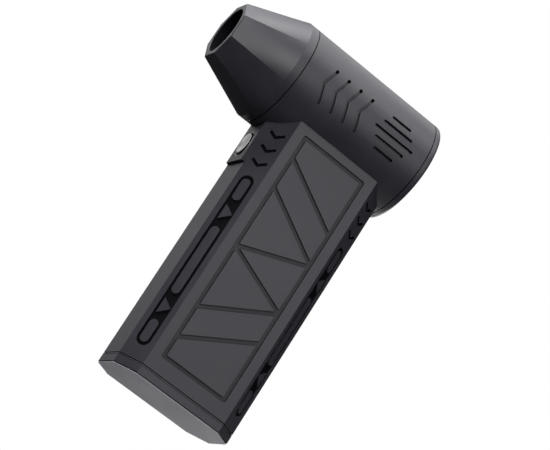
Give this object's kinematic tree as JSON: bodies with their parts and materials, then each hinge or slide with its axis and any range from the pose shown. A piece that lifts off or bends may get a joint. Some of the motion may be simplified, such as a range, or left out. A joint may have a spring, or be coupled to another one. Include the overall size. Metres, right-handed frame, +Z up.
{
  "type": "handheld turbo blower",
  "caption": "Handheld cordless turbo blower for drying a car: an eight-sided battery handle under a round fan barrel with a faceted nozzle and a push button.",
  "frame": {"origin": "centre of the handle's flat bottom face, on which the blower stands", "axes": "+Z up along the handle; the nozzle blows towards -Y and the air comes in from +Y; +X is square to both"},
  "size_m": [0.05, 0.102, 0.1715],
  "materials": {
    "body_plastic": "satin moulded plastic with a very fine grain",
    "base_plate": "smooth lighter grey cover plate",
    "grip_rubber": "matt black soft inlay",
    "button_metal": "brushed metal disc with a bright bevel",
    "button_chrome": "polished thin ring",
    "button_plastic": "black plastic",
    "guard_plastic": "black moulded guard",
    "mesh_steel": "perforated steel sheet",
    "seal_rubber": "soft black rubber",
    "fan_frame": "machined aluminium",
    "fan_plastic": "black engineering plastic",
    "impeller_metal": "machined aluminium",
    "shaft_steel": "ground steel",
    "magnet": "nickel-plated magnet",
    "core_steel": "stacked steel sheets",
    "copper": "enamelled copper wire",
    "screw_steel": "zinc-plated steel",
    "inner_plastic": "black plastic",
    "plug_plastic": "white nylon",
    "circuit_board": "green lacquered board",
    "chip_black": "black moulded chips",
    "capacitor_can": "aluminium can",
    "cell_wrap": "cell in a blue shrink wrap",
    "nickel": "nickel-plated strip",
    "foam": "closed-cell foam",
    "lead_rubber": "silicone-covered leads",
    "port_steel": "stamped steel socket"
  },
  "bodies": {
    "root": {"nozzle": "body_plastic", "barrel_housing": "body_plastic", "rear_ring": "body_plastic", "handle_housing": "body_plastic", "bottom_cap": "body_plastic", "base_plate": "base_plate", "grip_inlays": "grip_rubber", "button_ring": "button_chrome", "intake_grille": "guard_plastic", "dust_mesh": "mesh_steel", "filter_clip": "mesh_steel", "nozzle_seal": "seal_rubber", "front_rubber_ring": "seal_rubber", "rear_rubber_ring": "seal_rubber", "lead_grommet": "seal_rubber", "motor_frame": "fan_frame", "motor_end_cap": "fan_frame", "intake_shroud": "fan_plastic", "tail_cone": "fan_plastic", "bearing_outer_rings": "shaft_steel", "bearing_balls": "shaft_steel", "stator_core": "core_steel", "stator_windings": "copper", "motor_screws": "screw_steel", "switch_board_screws": "screw_steel", "control_board_screws": "screw_steel", "neck_screws": "screw_steel", "charge_board_screws": "screw_steel", "bottom_cap_screws": "screw_steel", "switch_plate": "inner_plastic", "tact_switch": "inner_plastic", "battery_tray_bottom": "inner_plastic", "battery_tray_top": "inner_plastic", "motor_plug": "plug_plastic", "switch_board": "circuit_board", "control_board": "circuit_board", "charge_board": "circuit_board", "power_transistors": "chip_black", "control_chip": "chip_black", "charge_parts": "chip_black", "power_capacitors": "capacitor_can", "battery_cell_1": "cell_wrap", "battery_cell_2": "cell_wrap", "battery_cell_3": "cell_wrap", "nickel_strips": "nickel", "foam_pads": "foam", "battery_leads": "lead_rubber", "motor_leads": "lead_rubber", "charge_leads": "lead_rubber", "switch_leads": "lead_rubber", "charge_port": "port_steel"},
    "button": {"power_button": "button_plastic", "button_disc": "button_metal", "tact_plunger": "inner_plastic"},
    "rotor": {"impeller": "impeller_metal", "impeller_nut": "impeller_metal", "motor_shaft": "shaft_steel", "rotor_magnet": "magnet", "bearing_inner_rings": "shaft_steel"}
  },
  "joints": [
    {"name": "power_button_press", "type": "slide", "parent": "root", "child": "button", "axis": [0, 1, 0], "range_m": [0, 0.0008], "stiffness_N_per_m": 1500},
    {"name": "rotor_spin", "type": "hinge", "parent": "root", "child": "rotor", "pos_m": [0, 0, 0.1465], "axis": [0, 1, 0], "continuous": true}
  ]
}
